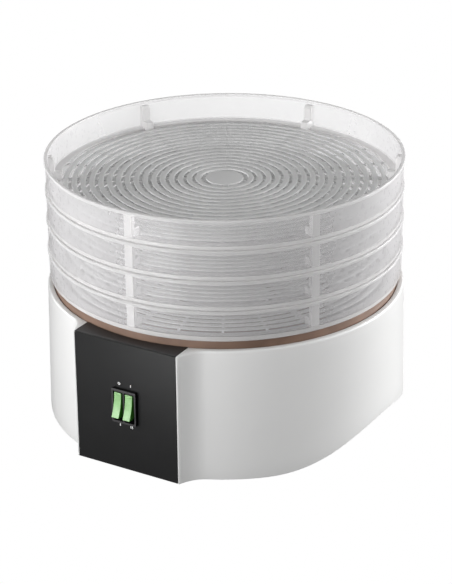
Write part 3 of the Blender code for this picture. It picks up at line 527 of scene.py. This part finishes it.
def build_switch(mats):
    """Bezel with two pockets, a slim bar between them and a snap-in body behind."""
    half_x = switch_high.x
    half_z = switch_high.z - SWITCH_Z
    front = switch_low.y
    behind = PANEL_Y - GAP
    neck = 1.1                       # how much slimmer the body is behind the bezel, mm
    loops = []
    for inset, y in ((0.5, front), (0.15, front + 0.15 * MM), (0.0, front + 0.5 * MM),
                     (0.0, behind), (neck, behind), (neck, switch_high.y)):
        outline = rounded(rectangle(half_x - inset * MM, half_z - inset * MM), 1.0 * MM)
        loops.append([(x, y, z) for x, z in outline])
    shape = loft(loops, closed=False, caps=True)
    # The very front keeps material 0, the grey of the painted reflection; the sides and the body
    # behind get material 1, the black of the painted shade.
    for face in shape.faces:
        face.material_index = 1 if face.calc_center_median().y > front + 0.1 * MM else 0
    piece = add_piece("switch_bezel", shape, [mats["bezel"], mats["bezel_painted_shade"]],
                      "base", ["switch_body"])
    rocker_low, rocker_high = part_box("rocker_right")
    middle = (rocker_low.x + rocker_high.x) / 2
    pocket_end = switch_high.y - 6 * MM
    # The pocket walls take material 1, the black of the painted shade.
    for side in (-1, 1):
        outline = rectangle(5.2 * MM, 14.2 * MM, middle_x=side * middle)
        pocket = front_prism(rounded(outline, 0.5 * MM, 3), front - 2 * MM, pocket_end)
        cut(piece, pocket, slot=1)
    soften(piece, 0.12 * MM, angle=50)


def build_rocker(side, mats):
    """A hollow-faced rocker with a small raised grip at its top end, which is pressed in."""
    node = "rocker_" + side
    joint = next(j for j in frame["joints"] if j["name"] == side + "_rocker_press")
    pivot = Vector(joint["pos_m"])
    length, half = 11.6 * MM, 3.7 * MM          # half the height and width of the face
    reach, hollow = 9.6 * MM, 1.5 * MM          # from the pivot to the face, and its dip
    pin_reach = 5.3 * MM
    pressed = math.radians(-13)
    steps = 20
    face = []
    for i in range(steps + 1):
        z = length * (1 - 2 * i / steps)
        face.append((hollow * (1 - (z / length) ** 2) - reach, z))
    back = [(-4.0 * MM, -11.0 * MM), (3.0 * MM, -3.0 * MM), (3.0 * MM, 3.0 * MM),
            (-4.0 * MM, 11.0 * MM)]
    loops = [[(x, y, z) for y, z in face + back] for x in (-half, half)]
    shape = loft(loops, closed=False, caps=True)
    # The side faces take material 1, the darker green of the painted shade.
    for side_face in (f for f in shape.faces if len(f.verts) > 4):
        side_face.material_index = 1
    grip_half = half - 1.2 * MM
    grip_z = length - 1.9 * MM
    grip_y = hollow * (1 - (grip_z / length) ** 2) - reach
    grip = block((-grip_half, grip_half), (grip_y - 0.3 * MM, grip_y + 1 * MM),
                 (grip_z - 0.45 * MM, grip_z + 0.45 * MM))
    pins = moved(prism(circle(1.5 * MM, 16), -pin_reach, pin_reach), turn=math.pi / 2, axis="Y")
    whole = moved(merge(shape, grip, pins), pivot, pressed, "X")
    rocker = add_piece(node + "_lens", whole, [mats["green"], mats["side"]], joint["child"],
                       [node], sharp=30)
    soften(rocker, 0.4 * MM, 3, 35)


def build_marks(mats):
    """Plain off and on marks above and below the rockers: a ring and four strokes."""
    front, back = PANEL_Y - 0.12 * MM, PANEL_Y + 0.1 * MM
    tall, stroke = 1.3 * MM, 0.36 * MM
    above, below = SWITCH_Z + 20.3 * MM, SWITCH_Z - 19.9 * MM
    left, right = -6.6 * MM, 5.4 * MM
    bars = [(left, below), (right, above), (right - 0.8 * MM, below), (right + 0.8 * MM, below)]
    shapes = [front_prism(rectangle(stroke, tall, z, x), front, back) for x, z in bars]
    ring_width = 1.25 * MM
    loops = []
    for grow, y in ((1.0, back), (1.0, front), (0.5, front), (0.5, back)):
        loops.append([(left + ring_width * x, y, above + tall * z) for x, z in circle(grow, 24)])
    add_piece("switch_marks", merge(loft(loops), *shapes), [mats["mark"]], "base")


# ---- deck, drip cap, feet and gland ---------------------------------------------------
def build_deck(mats):
    """Heat-proof top plate with a neck that seats the lowest tray and a collar inside it."""
    top = deck_low.z + 2.5 * MM
    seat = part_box("tray_1")[0].z - GAP
    collar = RIM_RADIUS - 6.5 * MM
    post = 9.0 * MM
    post_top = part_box("drip_cap")[0].z + 2.3 * MM
    section = [(0, deck_low.z), (deck_high.x, deck_low.z), (deck_high.x, seat), (collar, seat),
               (collar, deck_high.z), (collar - 2 * MM, deck_high.z), (collar - 2 * MM, top),
               (post, top), (post, post_top), (0, post_top)]
    deck = add_piece("deck_plate", turned(rounded(section, 0.4 * MM, 3, only=[2, 4, 5, 6, 7, 8])),
                     [mats["deck"]], "base", ["air_deck"])
    slots = []
    slot_count = 30
    slot_half = 1.9 * MM
    for i in range(slot_count):
        slot = block((28 * MM, 69 * MM), (-slot_half, slot_half),
                     (deck_low.z - 2 * MM, top + 2 * MM))
        slots.append(moved(slot, turn=math.tau * (i + 0.5) / slot_count))
    cut(deck, merge(*slots))


def build_drip_cap(mats):
    """Shallow domed cap with a turned-down edge over the air outlet."""
    low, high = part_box("drip_cap")
    radius = high.x
    screw_hole = 2.3 * MM
    underside = high.z - 1.6 * MM
    section = [(screw_hole, underside)]
    steps = 12
    for i in range(steps + 1):
        r = 12 * MM + (radius - 14 * MM) * i / steps
        section.append((r, underside - 1.6 * MM * (i / steps) ** 2))
    section += [(radius - 0.9 * MM, low.z), (radius, low.z + 0.5 * MM)]
    for i in range(steps + 1):
        r = radius - 2.6 * MM - (radius - 14.6 * MM) * i / steps
        section.append((r, high.z - 1.5 * MM * (1 - i / steps) ** 2))
    section.append((screw_hole, high.z))
    add_piece("drip_cap_dome", turned(section, 96), [mats["deck"]], "base", ["drip_cap"])


def build_feet(mats):
    """Rubber feet with a rounded tread edge and a shallow ring pressed into the sole."""
    for number in range(1, 5):
        node = f"foot_{number}"
        low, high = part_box(node)
        radius = (high.x - low.x) / 2
        section = [(0, low.z + 0.5 * MM), (4.2 * MM, low.z + 0.5 * MM), (4.7 * MM, low.z),
                   (radius - 1.2 * MM, low.z), (radius, low.z + 1.2 * MM), (radius, high.z),
                   (0, high.z)]
        middle = ((low.x + high.x) / 2, (low.y + high.y) / 2, 0)
        add_piece(node + "_pad", turned(rounded(section, 0.5 * MM, 3, only=[2, 3, 4, 5]), 48),
                  [mats["rubber"]], "base", [node], place=middle)


def build_gland(mats):
    """Round flange and ribbed sleeve where the mains lead comes out."""
    low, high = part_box("cord_gland")
    axis_z = (low.z + high.z) / 2
    flange = high.y - 14 * MM
    bore, stem, rim = 3.6 * MM, 6.1 * MM, 9.5 * MM
    section = [(bore, low.y), (stem, low.y), (stem, flange), (rim, flange),
               (rim, flange + 2.2 * MM), (7.2 * MM, flange + 3.3 * MM)]
    grooves = 4
    start = flange + 3.4 * MM
    pitch = (high.y - start) / grooves
    for i in range(grooves):
        y = start + pitch * i
        radius = 7.0 * MM - 0.45 * MM * i
        section += [(radius, y), (radius - 0.1 * MM, y + pitch * 0.55),
                    (radius - 1.1 * MM, y + pitch * 0.6), (radius - 1.1 * MM, y + pitch * 0.95)]
    section += [(5.4 * MM, high.y), (bore, high.y)]
    sleeve = moved(turned(rounded(section, 0.3 * MM, 2), 48), (0, 0, axis_z), -math.pi / 2, "X")
    add_piece("cord_gland_sleeve", sleeve, [mats["rubber"]], "base", ["cord_gland"])


# ---- trays ----------------------------------------------------------------------------
def tray_section():
    """Closed (radius, height) section of a tray's rim, wall, skirt and floor margin.

    The pairs are inset and drop from the outer top edge of the rim, in mm.
    """
    r = RIM_RADIUS
    drops = [(0.0, 0.0), (0.0, 2.6), (0.9, 3.1),                # rim
             (1.3, 23.6), (1.9, 24.3), (1.9, 27.6),             # wall and foot band
             (4.1, 27.6), (4.4, 29.6), (6.1, 29.6),             # shoulder and skirt
             (6.1, 26.2), (11.5, 26.2), (11.5, 24.2),           # floor margin
             (3.9, 24.2), (3.5, 22.6), (3.5, 0.0)]              # inner face of the wall
    return [(r - inset * MM, -drop * MM) for inset, drop in drops]


def tray_shell_mesh():
    """Rim, wall and skirt in one turned body, with the stepped ribs inside it.

    The rim and foot bands use material 1, the wall between them 0 and the ribs 2.
    """
    rim_end, foot_start = -3.4 * MM, -23.8 * MM
    shell = turned(rounded(tray_section(), 0.6 * MM, 3))
    for face in shell.faces:
        on_wall = foot_start <= face.calc_center_median().z <= rim_end
        face.material_index = 0 if on_wall else 1
    ribs = [rib(-math.pi / 2 + math.tau * i / RIB_COUNT) for i in range(RIB_COUNT)]
    return merge(shell, *ribs)


def rib(angle):
    """A stepped rib: slim at the top, deep at the bottom, with rounded long edges."""
    root = LIP_INNER + 0.5 * MM
    slim = LIP_INNER - 5.0 * MM
    deep = LIP_INNER - 12.0 * MM
    top, step, foot = -3.5 * MM, -17.8 * MM, -25.0 * MM
    section = [(root, top), (slim + 2.5 * MM, top), (slim, -6.0 * MM), (slim, step),
               (deep, step), (deep, foot), (root, foot)]
    half = 3.8 * MM
    soft = 0.5 * MM
    loops = []
    for inset, y in ((soft, -half), (0.0, soft - half), (0.0, half - soft), (soft, half)):
        outline = rounded(inset_section(section, inset), 0.6 * MM, 3, only=[1, 2, 3, 4, 5])
        loops.append([(r, y, z) for r, z in outline])
    return moved(loft(loops, closed=False, caps=True, slot=2), turn=angle)


def inset_section(section, amount):
    """Pull a rib's free edges in, but leave the root in the wall and the foot in the floor."""
    if amount == 0:
        return section
    root, foot = section[0][0], section[-1][1]
    shrunk = []
    for r, z in section:
        inner = r + amount if r < root else r
        lower = z - amount if z > foot else z
        shrunk.append((inner, lower))
    return shrunk


def tray_grid_mesh():
    """Slatted floor: concentric slats over radial spokes, and a round hub."""
    top = -FLOOR_LEVEL
    bodies = []
    hub_radius, hub_base = 17 * MM, top - 1.9 * MM
    hub = [(0, top - 0.1 * MM), (0, hub_base), (hub_radius, hub_base), (hub_radius, top)]
    bodies.append(turned(rounded(hub, 0.5 * MM, 3, only=[2, 3]), 64))
    slat_base = top - 1.2 * MM
    for i in range(SLAT_COUNT):
        middle = 24 * MM + SLAT_PITCH * i
        inner, outer = middle - SLAT_WIDTH / 2, middle + SLAT_WIDTH / 2
        slat = [(inner, top), (inner, slat_base), (outer, slat_base), (outer, top)]
        bodies.append(turned(rounded(slat, 0.45 * MM, 2, only=[0, 3]), 96))
    margin = RIM_RADIUS - 11.0 * MM
    for i in range(SPOKE_COUNT):
        meets_rib = i % (SPOKE_COUNT // RIB_COUNT) == 0
        half = 3.0 * MM if meets_rib else 1.1 * MM
        spoke = block((15 * MM, margin), (-half, half), (top - 2.0 * MM, top - 1.1 * MM))
        bodies.append(moved(spoke, turn=-math.pi / 2 + math.tau * i / SPOKE_COUNT))
    return merge(*bodies)


def build_trays(mats):
    """Each tray is a shell with ribs, and a slatted floor in a piece of its own."""
    shell = tray_shell_mesh()
    grid = tray_grid_mesh()
    for name in TRAYS:
        place = (0, 0, RIMS[name])
        add_piece(name + "_shell", shell.copy(), [mats["wall"], mats["lip"], mats["rib"]],
                  name + "_body", [name], sharp=40, place=place)
        add_piece(name + "_grid", grid.copy(), [mats["grid"]], name + "_body",
                  sharp=40, place=place)
    shell.free()
    grid.free()


# ---- pieces that keep their CAD meshes --------------------------------------------------
def finish_kept_pieces(mats):
    """Give every node that no fine piece replaces its material. Replaced nodes are hidden."""
    kept = {
        "bottom_cover": "cover", "cap_screw": "zinc", "motor_core": "steel",
        "motor_coil": "copper", "motor_rotor": "steel", "fan_shaft": "steel",
        "fan_impeller": "alu", "impeller_nut": "zinc", "air_duct": "zinc",
        "heater_element": "sheath", "thermal_cutout": "steel", "terminal_block": "cream",
    }
    families = {"cover_screw": "zinc", "motor_screw": "zinc", "motor_bracket": "zinc",
                "motor_bearing": "bronze", "switch_tab": "brass", "heater_clip": "zinc",
                "lead": "lead"}
    for node, piece in frame["nodes"].items():
        if piece.hide_render:
            continue
        key = kept.get(node)
        if key is None:
            key = next(value for start, value in families.items() if node.startswith(start))
        piece.data.materials.clear()
        piece.data.materials.append(mats[key])


# ---- camera, light and floor --------------------------------------------------------------
def add_camera():
    """A long lens, 31 degrees round from the panel towards +X and looking down 24 degrees.

    Returns how far round the camera stands.
    """
    azimuth = math.radians(31.2)
    pitch = math.radians(24.32)
    roll = -0.0109
    away = 1.825
    above_rim = 0.6867
    location = Vector((away * math.sin(azimuth), -away * math.cos(azimuth),
                       top_tray_high.z + above_rim))
    ahead = Vector((-math.sin(azimuth) * math.cos(pitch), math.cos(azimuth) * math.cos(pitch),
                    -math.sin(pitch)))
    right = ahead.cross(Vector((0, 0, 1))).normalized()
    up = right.cross(ahead)
    tilted_right = right * math.cos(roll) + up * math.sin(roll)
    tilted_up = up * math.cos(roll) - right * math.sin(roll)
    data = bpy.data.cameras.new("camera")
    data.lens = 133.3
    data.sensor_width = 36.0
    data.clip_end = 50.0
    camera = bpy.data.objects.new("camera", data)
    bpy.context.scene.collection.objects.link(camera)
    axes = Matrix((tilted_right, tilted_up, -ahead)).transposed()
    camera.matrix_world = Matrix.Translation(location) @ axes.to_4x4()
    bpy.context.scene.camera = camera
    return azimuth


# name, degrees round from the camera, elevation in degrees, distance, size, watts
SOFTBOXES = [
    ("far_left", -105, 8, 1.5, (1.0, 0.7), 9.0),
    ("left", -62, 10, 1.5, (0.9, 0.7), 9.0),
    ("front_left", -25, 18, 1.8, (0.8, 0.8), 15.5),
    ("right", 72, 10, 1.5, (0.9, 0.7), 6.5),
    ("far_right", 108, 8, 1.5, (1.0, 0.7), 30.0),
    ("top", 150, 80, 1.6, (1.2, 1.2), 5.0),
]
CARD_PLACE = (-0.04, -0.47, 0.004)   # small lit card on the table that the panel mirrors
CARD_SIZE = (0.18, 0.16)
CARD_POWER = 0.6
SKY = 0.01                           # strength of the white world
FLOOR_NEAR = 0.08                    # glow that the object sees in the floor close by
FLOOR_FAR = 0.02                     # and further out
FLOOR_WHITE = 1.0                    # how bright the floor looks to the camera


def area_light(name, place, back, size, power):
    """A rectangular light, unseen by the camera, that shines away from the back direction."""
    data = bpy.data.lights.new(name, "AREA")
    data.shape = "RECTANGLE"
    data.size, data.size_y = size
    data.energy = power
    light = bpy.data.objects.new(name, data)
    bpy.context.scene.collection.objects.link(light)
    light.visible_camera = False
    light.location = place
    light.rotation_mode = "QUATERNION"
    light.rotation_quaternion = back.to_track_quat("Z", "Y")


def add_lights(camera_azimuth):
    """Softboxes round the object, the card on the table and a faint white world."""
    middle = Vector((0, 0, BASE_TOP))
    for name, turn, elevation, distance, size, power in SOFTBOXES:
        a, e = camera_azimuth + math.radians(turn), math.radians(elevation)
        back = Vector((math.sin(a) * math.cos(e), -math.cos(a) * math.cos(e), math.sin(e)))
        area_light(name, middle + back * distance, back, size, power)
    area_light("card", CARD_PLACE, Vector((0, 0, -1)), CARD_SIZE, CARD_POWER)
    world = bpy.data.worlds.new("studio")
    bpy.context.scene.world = world
    world.use_nodes = True
    background = world.node_tree.nodes["Background"]
    background.inputs["Color"].default_value = (1.0, 1.0, 1.0, 1.0)
    background.inputs["Strength"].default_value = SKY


def floor_material():
    """White to the camera; as a light it is a faint glow that fades further out."""
    mat = bpy.data.materials.new("floor")
    mat.use_nodes = True
    nodes = mat.node_tree.nodes
    links = mat.node_tree.links
    nodes.remove(nodes["Principled BSDF"])
    place = nodes.new("ShaderNodeTexCoord")
    reach = nodes.new("ShaderNodeVectorMath")
    reach.operation = "LENGTH"
    links.new(place.outputs["Object"], reach.inputs[0])
    glow = nodes.new("ShaderNodeMapRange")
    glow.interpolation_type = "SMOOTHSTEP"
    glow.inputs["From Min"].default_value = 0.22
    glow.inputs["From Max"].default_value = 0.75
    glow.inputs["To Min"].default_value = FLOOR_NEAR
    glow.inputs["To Max"].default_value = FLOOR_FAR
    links.new(reach.outputs["Value"], glow.inputs["Value"])
    path = nodes.new("ShaderNodeLightPath")
    strength = nodes.new("ShaderNodeMix")
    strength.inputs["B"].default_value = FLOOR_WHITE
    links.new(path.outputs["Is Camera Ray"], strength.inputs["Factor"])
    links.new(glow.outputs["Result"], strength.inputs["A"])
    emission = nodes.new("ShaderNodeEmission")
    links.new(strength.outputs["Result"], emission.inputs["Strength"])
    links.new(emission.outputs["Emission"], nodes["Material Output"].inputs["Surface"])
    return mat


def add_floor():
    """A wide white sheet just below the feet."""
    data = bpy.data.meshes.new("floor")
    half, level = 6.0, -0.2 * MM
    data.from_pydata([(-half, -half, level), (half, -half, level), (half, half, level),
                      (-half, half, level)], [], [(0, 1, 2, 3)])
    data.materials.append(floor_material())
    floor = bpy.data.objects.new("floor", data)
    bpy.context.scene.collection.objects.link(floor)


def main():
    """Build every piece, then the floor, the camera and the lights."""
    mats = make_materials()
    build_housing(mats)
    build_panel(mats)
    build_switch(mats)
    for side in ("left", "right"):
        build_rocker(side, mats)
    build_marks(mats)
    build_deck(mats)
    build_drip_cap(mats)
    build_feet(mats)
    build_gland(mats)
    build_trays(mats)
    finish_kept_pieces(mats)
    add_floor()
    add_lights(add_camera())
    bpy.context.scene.view_settings.view_transform = "Standard"
    bpy.context.scene.cycles.transparent_max_bounces = 40     # many tray walls in a row


main()
